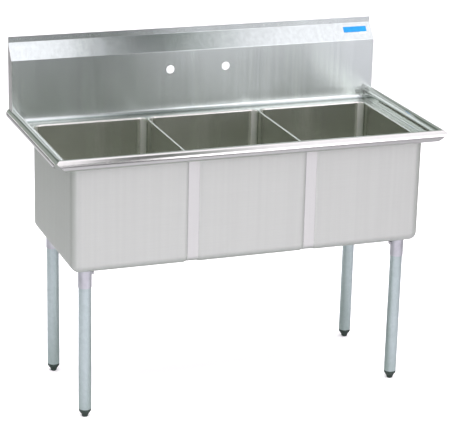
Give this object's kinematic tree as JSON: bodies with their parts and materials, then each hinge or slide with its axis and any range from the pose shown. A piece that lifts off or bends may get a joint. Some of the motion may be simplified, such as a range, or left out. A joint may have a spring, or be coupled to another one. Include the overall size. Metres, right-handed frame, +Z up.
{
  "type": "three compartment sink",
  "caption": "Free-standing stainless sink: three deep bowls under one rolled-rim deck, sloped backsplash, tube legs with screw feet, and a lift-out basket strainer in each bowl.",
  "frame": {"origin": "floor level under the centre of the sink's plan outline, wall edge to front roll", "axes": "+X to the right along the length, +Y back to the wall, +Z up"},
  "size_m": [1.3462, 0.6556, 1.162],
  "materials": {
    "stainless": "brushed satin stainless sheet, grain along the length",
    "name_plate": "gloss blue plate",
    "socket_steel": "satin die-formed steel",
    "screw_zinc": "zinc plated",
    "galvanized": "dull galvanized tube",
    "bush_zinc": "zinc plated",
    "strainer_steel": "polished stainless",
    "gasket_rubber": "matt black rubber",
    "slip_fibre": "pressed fibre",
    "nut_metal": "dull cast metal",
    "foot_plastic": "dark grey-green moulded plastic",
    "basket_steel": "polished stainless",
    "stopper_rubber": "matt black rubber"
  },
  "bodies": {
    "sink": {"sink_deck": "stainless", "front_rim": "stainless", "left_rim": "stainless", "right_rim": "stainless", "backsplash": "stainless", "left_end_cap": "stainless", "right_end_cap": "stainless", "bowl_left": "stainless", "bowl_middle": "stainless", "bowl_right": "stainless", "front_strip_left": "stainless", "front_strip_right": "stainless", "rear_strip_left": "stainless", "rear_strip_right": "stainless", "name_plate": "name_plate", "socket_front_left": "socket_steel", "socket_front_right": "socket_steel", "socket_rear_left": "socket_steel", "socket_rear_right": "socket_steel", "socket_screws": "screw_zinc", "leg_front_left": "galvanized", "leg_front_right": "galvanized", "leg_rear_left": "galvanized", "leg_rear_right": "galvanized", "bush_front_left": "bush_zinc", "bush_front_right": "bush_zinc", "bush_rear_left": "bush_zinc", "bush_rear_right": "bush_zinc", "strainer_body_left": "strainer_steel", "strainer_body_middle": "strainer_steel", "strainer_body_right": "strainer_steel", "strainer_gasket_left": "gasket_rubber", "strainer_gasket_middle": "gasket_rubber", "strainer_gasket_right": "gasket_rubber", "slip_washer_left": "slip_fibre", "slip_washer_middle": "slip_fibre", "slip_washer_right": "slip_fibre", "strainer_nut_left": "nut_metal", "strainer_nut_middle": "nut_metal", "strainer_nut_right": "nut_metal"},
    "basket_left": {"basket_left": "basket_steel", "basket_post_left": "basket_steel", "basket_stopper_left": "stopper_rubber"},
    "basket_middle": {"basket_middle": "basket_steel", "basket_post_middle": "basket_steel", "basket_stopper_middle": "stopper_rubber"},
    "basket_right": {"basket_right": "basket_steel", "basket_post_right": "basket_steel", "basket_stopper_right": "stopper_rubber"},
    "foot_front_left": {"foot_front_left": "foot_plastic"},
    "foot_front_right": {"foot_front_right": "foot_plastic"},
    "foot_rear_left": {"foot_rear_left": "foot_plastic"},
    "foot_rear_right": {"foot_rear_right": "foot_plastic"}
  },
  "joints": [
    {"name": "lift_basket_left", "type": "slide", "parent": "sink", "child": "basket_left", "axis": [0, 0, 1], "range_m": [0, 0.45]},
    {"name": "lift_basket_middle", "type": "slide", "parent": "sink", "child": "basket_middle", "axis": [0, 0, 1], "range_m": [0, 0.45]},
    {"name": "lift_basket_right", "type": "slide", "parent": "sink", "child": "basket_right", "axis": [0, 0, 1], "range_m": [0, 0.45]},
    {"name": "screw_foot_front_left", "type": "slide", "parent": "sink", "child": "foot_front_left", "axis": [0, 0, -1], "range_m": [0, 0.0254]},
    {"name": "screw_foot_front_right", "type": "slide", "parent": "sink", "child": "foot_front_right", "axis": [0, 0, -1], "range_m": [0, 0.0254]},
    {"name": "screw_foot_rear_left", "type": "slide", "parent": "sink", "child": "foot_rear_left", "axis": [0, 0, -1], "range_m": [0, 0.0254]},
    {"name": "screw_foot_rear_right", "type": "slide", "parent": "sink", "child": "foot_rear_right", "axis": [0, 0, -1], "range_m": [0, 0.0254]}
  ]
}
